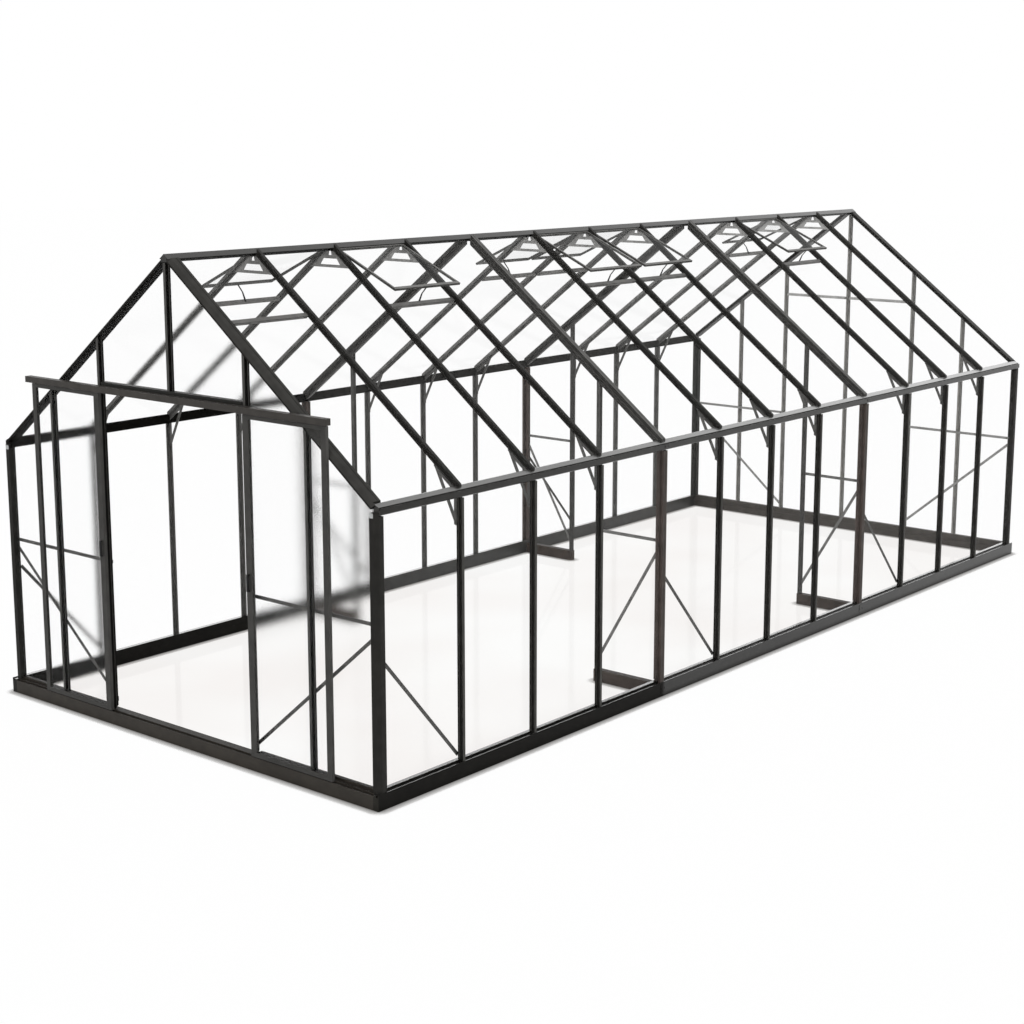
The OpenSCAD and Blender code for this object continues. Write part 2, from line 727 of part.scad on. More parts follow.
// ---- Gussets that tie each pair of rafters under the ridge
module ridge_gusset() {
  top_v = roof_proud + sheet_t + seat_t + seat_gap;
  z0 = apex_z - gusset_drop;
  z1 = z0 + gusset_bar;
  z2 = z1 + gusset_open;
  z3 = z2 + gusset_web;
  z4 = ridge_z - seat_gap;
  function half(z) = (roof_z(0, top_v) - z) / slope;
  leg = gusset_leg;
  inner = gusset_leg - gusset_taper;
  hole = gusset_hole;
  translate([0, -web_w / 2, 0]) rotate([90, 0, 0]) linear_extrude(brace_t) difference() {
    polygon([[-half(z0), z0], [half(z0), z0], [half(z4), z4], [-half(z4), z4]]);
    polygon([[leg - half(z1), z1], [half(z1) - leg, z1], [half(z2) - inner, z2],
      [inner - half(z2), z2]]);
    polygon([[-hole, z3], [hole, z3], [hole / 2, z4 + 1], [-hole / 2, z4 + 1]]);
  }
}
module ridge_gussets() color("#4a4844") place()
  for (i = plain_lines) translate([0, line_y(i), 0]) ridge_gusset();

// ---- Roof vents, fixed open
sash_width = narrow_bay - lap_w - 2 * sash_clear;
sash_pitch = roof_pitch - vent_open;
hinge_x = ridge_half + seat_gap;
hinge_z = ridge_z + hinge_rise;
module at_bays(list) for (b = list) translate([0, (bay_y0(b) + bay_y1(b)) / 2, 0]) children();
module on_sash() translate([hinge_x, 0, hinge_z]) rotate([0, sash_pitch, 0]) children();
module vent_sill(bay) {
  y0 = (bay == 0 ? front_y + verge_d : bay_y0(bay) + lap_w / 2) + seat_gap;
  y1 = bay_y1(bay) - lap_w / 2 - seat_gap;
  on_slope() translate([vent_sill_s, y0, -(roof_proud - lap_t) - vent_sill_t])
    cube([vent_sill_w, y1 - y0, vent_sill_t]);
}
module sash_frame() on_sash() difference() {
  translate([0, -sash_width / 2, 0]) cube([sash_l, sash_width, sash_t]);
  translate([sash_w, -sash_width / 2 + sash_w, -1])
    cube([sash_l - sash_w - sash_low_w, sash_width - 2 * sash_w, sash_t + 2]);
}
module sash_sheet() on_sash()
  translate([sash_w, -sash_width / 2 + sash_w, sash_t - sheet_t - sash_rebate])
  cube([sash_l - sash_w - sash_low_w, sash_width - 2 * sash_w, sheet_t]);
function on_roof(s, v) = [s * cos(roof_pitch) - v * sin(roof_pitch),
  apex_z - s * sin(roof_pitch) - v * cos(roof_pitch)];
function on_vent(s, v) = [hinge_x + s * cos(sash_pitch) - v * sin(sash_pitch),
  hinge_z - s * sin(sash_pitch) - v * cos(sash_pitch)];
// A stay runs from the sill's upper side face to the sash's lower member, bowed to the ridge
module vent_stay() {
  foot_s = vent_sill_s - seat_gap;
  foot_v = roof_proud - lap_t;
  low_v = foot_v + vent_sill_t;
  head_s = sash_l - sash_low_w / 2;
  bow = (on_roof(foot_s, foot_v) + on_vent(head_s, 0)) / 2 - [stay_bow, 0];
  translate([0, stay_t / 2, 0]) rotate([90, 0, 0]) linear_extrude(stay_t)
    polygon([on_roof(foot_s, low_v), on_roof(foot_s, foot_v), bow + [stay_t / 2, 0],
      on_vent(head_s + stay_t / 2, seat_gap), on_vent(head_s - stay_t / 2, seat_gap),
      bow - [stay_t / 2, 0], on_roof(foot_s - stay_t, low_v)]);
}
module vent_sills() color("#4a4945") place() {
  for (b = sills_right) vent_sill(b);
  mirror([1, 0, 0]) for (b = vents_left) vent_sill(b);
}
module vent_frames() color("#3a3835") place() {
  at_bays(vents_right) sash_frame();
  mirror([1, 0, 0]) at_bays(vents_left) sash_frame();
}
module vent_sheets() color("#e8eef0", 0.4) place() {
  at_bays(vents_right) sash_sheet();
  mirror([1, 0, 0]) at_bays(vents_left) sash_sheet();
}
module vent_stays() color("#2a2927") place() {
  at_bays(vents_right) vent_stay();
  mirror([1, 0, 0]) at_bays(vents_left) vent_stay();
}

// ---- Sheets
edge_in = stem_w / 2 + sheet_clear;
function sheet_y0(b, end_in) = b == 0 ? end_in : bay_y0(b) + edge_in;
function sheet_y1(b, end_in) = b == bays - 1 ? length_y - end_in : bay_y1(b) - edge_in;
module wall_sheets() {
  end_in = front_y + corner_w;
  for (b = [0 : bays - 1]) translate([sheet_x, sheet_y0(b, end_in), sill_z])
    cube([sheet_t, sheet_y1(b, end_in) - sheet_y0(b, end_in), eave_z - sill_z]);
}
module wall_sheets_left() color("#e8eef0", 0.4) place() mirror([1, 0, 0]) wall_sheets();
module wall_sheets_right() color("#e8eef0", 0.4) place() wall_sheets();

module roof_sheets(vents, sills) {
  end_in = front_y + verge_d - verge_slot + sheet_clear;
  for (b = [0 : bays - 1]) {
    y0 = sheet_y0(b, end_in);
    y1 = sheet_y1(b, end_in);
    vented = len([for (v = vents) if (v == b) v]) > 0;
    silled = len([for (v = sills) if (v == b) v]) > 0;
    low = vent_sill_s + vent_sill_w;
    intersection() {
      on_slope() {
        translate([silled ? low : 0, y0, -roof_proud - sheet_t])
          cube([slope_l + bar_depth - (silled ? low : 0), y1 - y0, sheet_t]);
        if (silled && !vented) translate([0, y0, -roof_proud - sheet_t])
          cube([vent_sill_s, y1 - y0, sheet_t]);
      }
      roof_span(0, length_y);
    }
  }
}
module roof_sheets_left() color("#e8eef0", 0.4) place() mirror([1, 0, 0])
  roof_sheets(vents_left, vents_left);
module roof_sheets_right() color("#e8eef0", 0.4) place()
  roof_sheets(vents_right, sills_right);

// A gable sheet between two distances from the middle, from z0 up to z1 or the verge
module gable_sheet(x0, x1, z0, z1) {
  translate([0, front_y + wall_proud + sheet_t, 0]) rotate([90, 0, 0])
    linear_extrude(sheet_t) intersection() {
      translate([x0, z0]) square([x1 - x0, z1 - z0]);
      polygon([[0, 0], [eave_back_x, 0], [eave_back_x, roof_z(eave_back_x, verge_under)],
        [ridge_half, roof_z(ridge_half, verge_under)], [0, roof_z(ridge_half, verge_under)]]);
    }
}
gable_edge = stem_w / 2 + sheet_clear;
module gable_side_sheets() {
  gable_sheet(mullion_x + gable_edge, corner_in_x, sill_z, apex_z);
  gable_sheet(jamb_x + gable_edge, mullion_x - gable_edge, sill_z, apex_z);
}
module gable_sheets_front() color("#e8eef0", 0.5) place() both_sides() {
  gable_side_sheets();
  gable_sheet(gable_edge, jamb_x - gable_edge, header_top_z, apex_z);
}
module gable_sheets_back() color("#e8eef0", 0.4) place() translate([0, length_y, 0])
  mirror([0, 1, 0]) both_sides() {
    gable_side_sheets();
    gable_sheet(gable_edge, jamb_x - gable_edge, sill_z, header_top_z - brace_w);
    gable_sheet(gable_edge, jamb_x - gable_edge, header_top_z, apex_z);
  }

// ---- Door track: a channel open below, with a runner flange on its front wall
module track_profile() {
  d = track_d;
  h = track_h;
  t = track_t;
  polygon([[0, 0], [0, h], [-d, h], [-d, 0], [-d + t + runner_w, 0],
    [-d + t + runner_w, t], [-d + t, t], [-d + t, h - t], [-t, h - t], [-t, 0]]);
}
module door_track() color("#4a4844") place() {
  translate([-track_l / 2, front_y, track_z]) rotate([90, 0, 90])
    linear_extrude(track_l) track_profile();
  both_sides() translate([track_l / 2 - track_t, track_front_y, track_z])
    cube([track_t, track_d, track_h]);
}

// ---- Door leaves, drawn for the right hand side with the inner edge at open_x
module leaf_frame(open_x) {
  w = leaf_w - meet_stile_w - stile_w;
  height = leaf_top_z - leaf_z;
  h = height - leaf_rail_h - leaf_top_h;
  s = leaf_slot;
  translate([open_x, leaf_front_y, leaf_z]) difference() {
    cube([leaf_w, leaf_t, height]);
    translate([meet_stile_w, -1, leaf_rail_h]) cube([w, leaf_t + 2, h]);
    translate([meet_stile_w - s, (leaf_t - sheet_t) / 2, leaf_rail_h - s])
      cube([w + 2 * s, sheet_t, h + 2 * s]);
  }
}
module leaf_sheet(open_x) {
  s = leaf_slot - sheet_clear;
  height = leaf_top_z - leaf_z;
  translate([open_x + meet_stile_w - s, leaf_front_y + (leaf_t - sheet_t) / 2,
    leaf_z + leaf_rail_h - s])
    cube([leaf_w - meet_stile_w - stile_w + 2 * s, sheet_t,
      height - leaf_rail_h - leaf_top_h + 2 * s]);
}
// A hanger plate on the top rail with a roller on the track's flange
module hanger() {
  translate([-hanger_w / 2, hanger_y, leaf_top_z])
    cube([hanger_w, track_t, roller_z + roller_d / 4 - leaf_top_z]);
  translate([0, hanger_y, roller_z]) rotate([90, 0, 0])
    cylinder(d = roller_d, h = hanger_y - roller_y + roller_w / 2, $fn = 48);
}
module leaf_rollers(open_x) for (x = [open_x + hanger_in, open_x + leaf_w - hanger_in])
  translate([x, 0, 0]) hanger();
module leaf_handle(open_x) {
  g = handle_w / 2;
  translate([open_x + meet_stile_w / 2, leaf_front_y, handle_z]) {
    for (z = [-1, 1])
      translate([-g / 2, handle_t - handle_d, z * handle_h / 2 - (z + 1) * g / 2])
        cube([g, handle_d - handle_t, g]);
    translate([-g, -handle_d, -handle_h / 2]) cube([handle_w, handle_t, handle_h]);
  }
}
module door_left_frame() color("#3f3d3a") place()
  mirror([1, 0, 0]) leaf_frame(left_open_x);
module door_left_sheet() color("#e8eef0", 0.5) place()
  mirror([1, 0, 0]) leaf_sheet(left_open_x);
module door_left_rollers() color("#6a6a68") place()
  mirror([1, 0, 0]) leaf_rollers(left_open_x);
module door_left_handle() color("#1c1b1a") place()
  mirror([1, 0, 0]) leaf_handle(left_open_x);
module door_right_frame() color("#3f3d3a") place()
  leaf_frame(right_open_x);
module door_right_sheet() color("#e8eef0", 0.5) place()
  leaf_sheet(right_open_x);
module door_right_rollers() color("#6a6a68") place()
  leaf_rollers(right_open_x);
module door_right_handle() color("#1c1b1a") place()
  leaf_handle(right_open_x);

base_rail_left();
base_rail_right();
base_rail_front();
base_rail_back();
corner_posts();
wall_bars_left();
wall_bars_right();
section_posts();
eaves_left();
eaves_right();
ridge();
rafters_left();
rafters_right();
section_rafters();
verge_front();
verge_back();
gable_bars_front();
gable_bars_back();
head_rails();
gable_braces();
wall_braces();
portal_feet();
portal_posts();
portal_braces();
knee_braces();
ridge_gussets();
vent_sills();
vent_frames();
vent_sheets();
vent_stays();
wall_sheets_left();
wall_sheets_right();
roof_sheets_left();
roof_sheets_right();
gable_sheets_front();
gable_sheets_back();
door_track();
door_left_frame();
door_left_sheet();
door_left_rollers();
door_left_handle();
door_right_frame();
door_right_sheet();
door_right_rollers();
door_right_handle();
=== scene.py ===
import json
import math

import bmesh
import bpy
import numpy as np
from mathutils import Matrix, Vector


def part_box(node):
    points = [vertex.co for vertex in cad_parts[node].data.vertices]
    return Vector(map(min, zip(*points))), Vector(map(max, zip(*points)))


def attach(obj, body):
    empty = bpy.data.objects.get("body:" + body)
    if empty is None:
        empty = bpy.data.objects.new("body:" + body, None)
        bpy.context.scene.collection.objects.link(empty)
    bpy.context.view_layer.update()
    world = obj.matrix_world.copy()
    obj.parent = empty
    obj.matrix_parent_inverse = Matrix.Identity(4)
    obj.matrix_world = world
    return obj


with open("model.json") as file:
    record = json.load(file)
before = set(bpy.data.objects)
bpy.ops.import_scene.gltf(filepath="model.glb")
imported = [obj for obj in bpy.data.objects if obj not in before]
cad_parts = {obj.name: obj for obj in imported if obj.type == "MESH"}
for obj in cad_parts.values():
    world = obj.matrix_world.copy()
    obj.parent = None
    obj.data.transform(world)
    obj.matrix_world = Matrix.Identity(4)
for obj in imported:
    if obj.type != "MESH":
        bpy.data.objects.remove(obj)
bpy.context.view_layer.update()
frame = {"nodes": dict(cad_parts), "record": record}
nodes = frame["nodes"]

# ---- Positions taken from the frame
POST_REACH = 0.030  # from a corner post's outer face to the first or last bay line
SECTIONS = 3
post_lo, post_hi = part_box("corner_posts")
front_y = post_lo.y
back_y = post_hi.y
line_0 = front_y + POST_REACH
half_w = post_hi.x
LENGTH = back_y - front_y - 2 * POST_REACH
SECTION = LENGTH / SECTIONS

X = Vector((1, 0, 0))
Y = Vector((0, 1, 0))
Z = Vector((0, 0, 1))


# ---- Colours
def srgb(*rgb):
    """The linear colour of a colour written as its 0-255 values on the screen."""
    return tuple((v / 255 / 12.92) if v < 10.3 else ((v / 255 + 0.055) / 1.055) ** 2.4
                 for v in rgb)


def grey(v, warm=3):
    """A screen grey from 0 to 255, a little warm as the powder coat is."""
    return (v, v - warm * 0.3, v - warm)


def run(*stops):
    """Greys along the building, which paint in light, shade and reflection that change along it:
    (metres from the first bay line, grey) pairs.
    """
    return [(y, grey(v)) for y, v in stops]


BLACK = (0, 0, 0)
HALF = (188, 188, 188)  # one half, once made linear
WHOLE = (255, 255, 255)


# ---- Node helpers: n and l are the nodes and links of a material or of the world
def new_material(name):
    mat = bpy.data.materials.new(name)
    mat.use_nodes = True
    mat.node_tree.nodes.clear()
    return mat, mat.node_tree.nodes, mat.node_tree.links


def node(n, kind, colour=None, **values):
    """A node with its inputs set by name; _ stands for a space in an input's name."""
    made = n.new(kind)
    if colour:
        made.inputs["Color"].default_value = (*colour, 1)
    for name, value in values.items():
        made.inputs[name.replace("_", " ")].default_value = value
    return made


def noise(n, l, scale, detail, stretch=(1, 1, 1)):
    where = n.new("ShaderNodeTexCoord")
    size = node(n, "ShaderNodeMapping", Scale=stretch)
    l.new(where.outputs["Object"], size.inputs["Vector"])
    tex = node(n, "ShaderNodeTexNoise", Scale=scale, Detail=detail)
    l.new(size.outputs["Vector"], tex.inputs["Vector"])
    return tex.outputs["Fac"]


def ramp(n, l, fac, stops):
    """A colour that changes with a value: stops are (value, linear colour)."""
    cr = n.new("ShaderNodeValToRGB")
    elements = cr.color_ramp.elements
    while len(elements) < len(stops):
        elements.new(1.0)
    for k, (at, colour) in enumerate(stops):
        elements[k].position = at
        elements[k].color = (*colour, 1)
    l.new(fac, cr.inputs["Fac"])
    return cr.outputs["Color"]


def spread(n, l, value, from_min, from_max, to_min=0.0, to_max=1.0):
    """A value moved from one range to another."""
    made = node(n, "ShaderNodeMapRange", From_Min=from_min, From_Max=from_max,
                To_Min=to_min, To_Max=to_max)
    l.new(value, made.inputs["Value"])
    return made.outputs["Result"]


def calculate(n, l, operation, a, b=None):
    made = n.new("ShaderNodeMath")
    made.operation = operation
    l.new(a, made.inputs[0])
    if isinstance(b, float):
        made.inputs[1].default_value = b
    elif b is not None:
        l.new(b, made.inputs[1])
    return made.outputs[0]


def part_of(n, l, vector, axis):
    split = n.new("ShaderNodeSeparateXYZ")
    l.new(vector, split.inputs["Vector"])
    return split.outputs[axis]


def constant(n, linear):
    rgb = n.new("ShaderNodeRGB")
    rgb.outputs[0].default_value = (*linear, 1)
    return rgb.outputs[0]


def shade(n, l, colour):
    """A screen colour, or one that changes along the building: (metres, colour) pairs."""
    if not isinstance(colour[0], tuple):
        return constant(n, srgb(*colour))
    y = part_of(n, l, n.new("ShaderNodeTexCoord").outputs["Object"], "Y")
    return ramp(n, l, spread(n, l, y, line_0, line_0 + LENGTH),
                [(at / LENGTH, srgb(*c)) for at, c in colour])


def facing(n, l, axis, low, high):
    """1 where a face looks along the axis, 0 where it doesn't; along X, either way."""
    value = part_of(n, l, n.new("ShaderNodeNewGeometry").outputs["True Normal"], axis)
    if axis == "X":
        value = calculate(n, l, "ABSOLUTE", value)
    return spread(n, l, value, low, high)


def blend(n, l, fac, a, b, kind="MIX"):
    mix = n.new("ShaderNodeMix")
    mix.data_type = "RGBA"
    mix.blend_type = kind
    if isinstance(fac, float):
        mix.inputs["Factor"].default_value = fac
    else:
        l.new(fac, mix.inputs["Factor"])
    l.new(a, mix.inputs["A"])
    l.new(b, mix.inputs["B"])
    return mix.outputs["Result"]


def mix_shaders(n, l, fac, a, b):
    mix = n.new("ShaderNodeMixShader")
    if isinstance(fac, float):
        mix.inputs[0].default_value = fac
    else:
        l.new(fac, mix.inputs[0])
    l.new(a, mix.inputs[1])
    l.new(b, mix.inputs[2])
    return mix.outputs[0]


def shown_directly(n, l):
    """1 for camera, glossy and transmission rays, 0 for the rays that only carry light."""
    path = n.new("ShaderNodeLightPath")
    shown = path.outputs["Is Camera Ray"]
    for ray in ("Is Glossy Ray", "Is Transmission Ray"):
        shown = calculate(n, l, "MAXIMUM", shown, path.outputs[ray])
    return shown


def put_out(n, l, surface, kind="ShaderNodeOutputMaterial"):
    l.new(surface, n.new(kind).inputs["Surface"])


# ---- Paint
# How much of the room the top coat mirrors, by how flat it is looked at (0 straight on, 1 edge on)
COAT = ((0.3, 0.02), (0.5, 0.14), (0.6, 0.26), (0.67, 0.56), (0.74, 0.85), (0.88, 0.98))
COAT_ROUGHNESS = 0.25
# From where to where a part of a face's normal counts as looking that way
LEVEL = (0.80, 0.84)
# SIDEWAYS, UPWARD and DOWNWARD pick the faces that get painted light or shade.
SIDEWAYS = (0.45, 0.7)
UPWARD = (0.35, 0.6)
DOWNWARD = (-0.35, -0.6)
MOTTLE = ((0.3, (0.82,) * 3), (0.7, (1.18,) * 3))
ROUGHNESS_SPREAD = 0.08


def coat_over(n, l, under, amount):
    """A smooth top coat, which mirrors the room more the flatter it is looked at.

    amount is how much is laid on; level tops get it whole.
    """
    flat = node(n, "ShaderNodeLayerWeight", Blend=0.5)
    curve = ramp(n, l, flat.outputs["Facing"], [(at, (v, v, v)) for at, v in COAT])
    laid = blend(n, l, facing(n, l, "Z", *LEVEL), shade(n, l, amount), shade(n, l, WHOLE))
    mirror = node(n, "ShaderNodeBsdfGlossy", Roughness=COAT_ROUGHNESS)
    return mix_shaders(n, l, calculate(n, l, "MULTIPLY", curve, laid), under, mirror.outputs[0])


def paint(name, front, side=None, up=None, down=None, gloss=0.12, roughness=0.4, coat=None):
    """Satin powder coat with a faint mottle and grain, its colour by the way a face looks: painted
    light and shade make sides, tops and undersides lighter or darker.
    """
    mat, n, l = new_material(name)
    colour = shade(n, l, front)
    # Painted light and shade: a side, top or underside gets its own lighter or darker grey.
    for painted_shading, axis, limits in ((side, "X", SIDEWAYS), (up, "Z", UPWARD), (down, "Z", DOWNWARD)):
        if painted_shading:
            colour = blend(n, l, facing(n, l, axis, *limits), colour, shade(n, l, painted_shading))
    bsdf = node(n, "ShaderNodeBsdfPrincipled", Specular_IOR_Level=gloss)
    mottle = ramp(n, l, noise(n, l, 14.0, 5.0), MOTTLE)
    l.new(blend(n, l, 1.0, colour, mottle, "MULTIPLY"), bsdf.inputs["Base Color"])
    rough = spread(n, l, noise(n, l, 40.0, 3.0), 0.0, 1.0,
                   roughness - ROUGHNESS_SPREAD, roughness + ROUGHNESS_SPREAD)
    l.new(rough, bsdf.inputs["Roughness"])
    grain = node(n, "ShaderNodeBump", Strength=0.08, Distance=0.0004)
    l.new(noise(n, l, 1400.0, 2.0), grain.inputs["Height"])
    l.new(grain.outputs["Normal"], bsdf.inputs["Normal"])
    surface = bsdf.outputs["BSDF"]
    put_out(n, l, coat_over(n, l, surface, coat) if coat else surface)
    return mat


# ---- Sheets
def clear_sheet(name, haze, sheen):
    """A thin clear sheet: see-through, a trace of white haze and a sheen at grazing angles."""
    mat, n, l = new_material(name)
    see = node(n, "ShaderNodeBsdfTransparent", (0.998, 0.998, 0.998))
    white = node(n, "ShaderNodeBsdfDiffuse", (0.93, 0.95, 0.95))
    much = spread(n, l, noise(n, l, 1.1, 3.0, (1, 0.35, 1)), 0.3, 0.7, haze * 0.5, haze * 1.5)
    body = mix_shaders(n, l, much, see.outputs[0], white.outputs[0])
    grazing = node(n, "ShaderNodeFresnel", IOR=sheen)
    mirror = node(n, "ShaderNodeBsdfGlossy", Roughness=0.06)
    outer = mix_shaders(n, l, grazing.outputs[0], body, mirror.outputs[0])
    inner = node(n, "ShaderNodeBsdfTransparent")
    back = n.new("ShaderNodeNewGeometry").outputs["Backfacing"]
    put_out(n, l, mix_shaders(n, l, back, outer, inner.outputs[0]))
    return mat


def frosted_sheet(name, blur, white_part):
    """A frosted sheet: near things show through it crisply, far ones melt into a soft blur."""
    mat, n, l = new_material(name)
    see = node(n, "ShaderNodeBsdfRefraction", (1, 1, 1), IOR=1.3)
    rough = spread(n, l, noise(n, l, 3.0, 2.0), 0.0, 1.0, blur * 0.94, blur * 1.06)
    l.new(rough, see.inputs["Roughness"])
    white = node(n, "ShaderNodeBsdfDiffuse")
    cloud = ramp(n, l, noise(n, l, 2.0, 3.0),
                 ((0.3, (0.9, 0.91, 0.91)), (0.7, (0.96, 0.97, 0.97))))
    l.new(cloud, white.inputs["Color"])
    put_out(n, l, mix_shaders(n, l, white_part, see.outputs[0], white.outputs[0]))
    return mat


# ---- Finishes of the CAD nodes: a grey for each member, as it looks in the photograph, with the light and shade on its faces painted in.
# Where a run is given, the photograph shows the member darker or lighter along the building, and
# the run paints that light, shade and reflection in.
# Up to here, in the first section, some members are painted in deeper shade; the base rails get
# their top coat only after it.
SHADED_TO = SECTION - 0.001
LATER_SECTIONS = [(0, BLACK), (SHADED_TO, BLACK), (SECTION, HALF), (LENGTH, HALF)]
PAINT = {
    "base_rail_right": paint(
        "rail_right", grey(42, 5), run((0, 24), (SHADED_TO, 24), (SECTION, 32), (LENGTH, 32)),
        gloss=0.05, coat=LATER_SECTIONS),
    "base_rail_left": paint(
        "rail_left", grey(40), run((0, 22), (SHADED_TO, 24), (SECTION, 62), (LENGTH, 62)),
        gloss=0.05, coat=LATER_SECTIONS),
    "base_rail_front": paint("rail_front", (55, 51, 46), up=(48, 45, 41)),
    "base_rail_back": paint("rail_back", (80, 76, 72)),
    "corner_posts": paint(
        "posts", run((0, 39), (LENGTH, 54)), run((0, 44), (LENGTH, 50)), gloss=0.06),
    "wall_bars_right": paint(
        "bars_right", run((0, 34), (SECTION, 38), (LENGTH, 52)), (68, 67, 64), gloss=0.1),
    "wall_bars_left": paint(
        "bars_left", run((0, 76), (LENGTH, 104)), run((0, 78), (LENGTH, 106))),
    "section_posts": paint("joint_posts", (82, 73, 69), (72, 66, 62)),
    "eaves_left": paint(
        "eave_left", grey(30), run((0, 14), (SHADED_TO, 14), (SECTION, 36), (LENGTH, 50)),
        grey(60), gloss=0.02),
    "eaves_right": paint(
        "eave_right", grey(62), grey(38), grey(58), gloss=0.1, roughness=0.3, coat=HALF),
    "ridge": paint(
        "ridge", grey(40), grey(22), grey(48), gloss=0.1, roughness=0.35, coat=HALF),
    "rafters_left": paint(
        "rafters_left", run((0, 84), (LENGTH, 124)), down=run((0, 84), (LENGTH, 112))),
    "rafters_right": paint(
        "rafters_right", run((0, 44), (SECTION, 44), (LENGTH, 62)), up=grey(46)),
    "section_rafters": paint("joint_rafters", grey(66), up=grey(100), down=grey(80)),
    "verge_front": paint("verge_front", grey(38), up=grey(64), down=grey(6), gloss=0.02),
    "verge_back": paint("verge_back", grey(46), up=grey(60), down=grey(70)),
    "gable_bars_front": paint("gable_bars", grey(78), grey(18), gloss=0.06),
    "gable_bars_back": paint("gable_bars_back", grey(146, 6), grey(112)),
    "head_rails": paint("head_rails", run((0, 42), (LENGTH, 178))),
    "door_track": paint("track", (63, 60, 57), up=(70, 67, 64)),
    "door_left_frame": paint("leaf_left", grey(62), grey(66)),
    "door_right_frame": paint("leaf_right", grey(64), grey(78)),
    "knee_braces": paint("knees", grey(92)),
    "portal_feet": paint("portal_feet", (72, 64, 59), up=(60, 54, 50)),
    "portal_posts": paint("portal_posts", run((0, 90), (LENGTH, 64)), grey(62)),
    "portal_braces": paint("portal_braces", grey(120)),
    "gable_braces": paint("gable_braces", run((0, 88), (LENGTH, 150))),
    "wall_braces": paint("wall_braces", grey(80)),
    "ridge_gussets": paint("gussets", run((0, 116), (SECTION, 146), (LENGTH, 182))),
    "vent_sills": paint("vent_sills", grey(104), up=run((0, 108), (LENGTH, 120))),
    "vent_frames": paint("vent_frames", grey(76), grey(70), up=grey(118)),
}
MATS = {
    "dark_fittings": paint("dark_fittings", (26, 26, 26)),
    "clear_sheet": clear_sheet("clear_sheet", 0.008, 1.08),
    "frosted_sheet": frosted_sheet("frosted_sheet", 0.115, 0.008),
}
for sub in frame["record"]["subparts"]:
    obj = nodes[sub["node"]]
    obj.data.materials.clear()
    obj.data.materials.append(PAINT.get(sub["node"]) or MATS[sub["material_slot"]])

# ---- Fixings: screw heads and joint plates, each built as its own mesh
STEEL = paint("steel", (176, 178, 178), gloss=0.6, roughness=0.25)
FIXING = paint("fixing", (58, 57, 54), gloss=0.4, roughness=0.3)
# A screw head's rings, from the floor of its recess to below its seat: (radius, height)
HEAD = ((0.35, 0.42), (0.42, 1.0), (0.78, 0.82), (1.0, 0.35), (1.0, -0.15))
HEAD_HEIGHT = 0.55  # of the radius
HEAD_SIDES = 12
BRACE_SCREW_R = 0.0055
PLATE_SCREW_R = 0.0045
SCREW_FROM_END = 0.018
PLATE_T = 0.002
PLATE_SUNK = 0.0004  # into the face that a plate lies on
PLATE_ROUND = 0.18  # a corner's radius, of the plate's shorter side
ROUND_STEPS = 3


def screw(bm, at, out, radius):
    """A domed screw head with a round recess, sitting at a point and looking along out."""
    turn = out.to_track_quat("Z", "Y").to_matrix()
    rings = []
    for r, h in HEAD:
        ring = []
        for k in range(HEAD_SIDES):
            a = 2 * math.pi * k / HEAD_SIDES
            offset = Vector((r * math.cos(a), r * math.sin(a), h * HEAD_HEIGHT)) * radius
            ring.append(bm.verts.new(at + turn @ offset))
        rings.append(ring)
    for low, high in zip(rings, rings[1:]):
        for k in range(HEAD_SIDES):
            after = (k + 1) % HEAD_SIDES
            bm.faces.new((low[k], high[k], high[after], low[after]))
    bm.faces.new(rings[0])
    bm.faces.new(list(reversed(rings[-1])))


def rounded_plate(bm, at, u, v, size_u, size_v):
    """A plate with round corners and a chamfered edge, lying on a face; it looks along u x v."""
    out = u.cross(v)
    corner = min(size_u, size_v) * PLATE_ROUND
    loops = []
    for lift, inset in ((-PLATE_SUNK, 0.0), (PLATE_T * 0.6, 0.0), (PLATE_T, PLATE_T * 0.5)):
        loop = []
        for su, sv, turn in ((1, 1, 0), (-1, 1, 1), (-1, -1, 2), (1, -1, 3)):
            for k in range(ROUND_STEPS + 1):
                a = math.pi / 2 * (turn + k / ROUND_STEPS)
                along_u = su * (size_u / 2 - corner) + (corner - inset) * math.cos(a)
                along_v = sv * (size_v / 2 - corner) + (corner - inset) * math.sin(a)
                loop.append(bm.verts.new(at + u * along_u + v * along_v + out * lift))
        loops.append(loop)
    for low, high in zip(loops, loops[1:]):
        for k in range(len(low)):
            after = (k + 1) % len(low)
            bm.faces.new((low[k], low[after], high[after], high[k]))
    bm.faces.new(list(reversed(loops[0])))
    bm.faces.new(loops[-1])


def add_piece(name, bm, material, slot):
    mesh = bpy.data.meshes.new(name)
    bmesh.ops.recalc_face_normals(bm, faces=bm.faces)
    bm.to_mesh(mesh)
    bm.free()
    obj = bpy.data.objects.new(name, mesh)
    bpy.context.scene.collection.objects.link(obj)
    mesh.materials.append(material)
    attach(obj, "house")


def bars_of(node_name):
    """(centre, long axis, thin axis, length, thickness) of each separate bar of a node."""
    bm = bmesh.new()
    bm.from_mesh(nodes[node_name].data)
    bmesh.ops.remove_doubles(bm, verts=bm.verts, dist=1e-5)
    left = set(bm.verts)
    while left:
        todo, part = [left.pop()], []
        while todo:
            v = todo.pop()
            part.append(v.co.copy())
            for e in v.link_edges:
                w = e.other_vert(v)
                if w in left:
                    left.remove(w)
                    todo.append(w)
        pts = np.array(part)
        mid = (pts.max(0) + pts.min(0)) / 2
        axes = np.linalg.svd(pts - mid, full_matrices=False)[2]
        spans = [np.ptp((pts - mid) @ a) for a in axes]
        yield Vector(mid), Vector(axes[0]), Vector(axes[2]), spans[0], spans[2]
    bm.free()


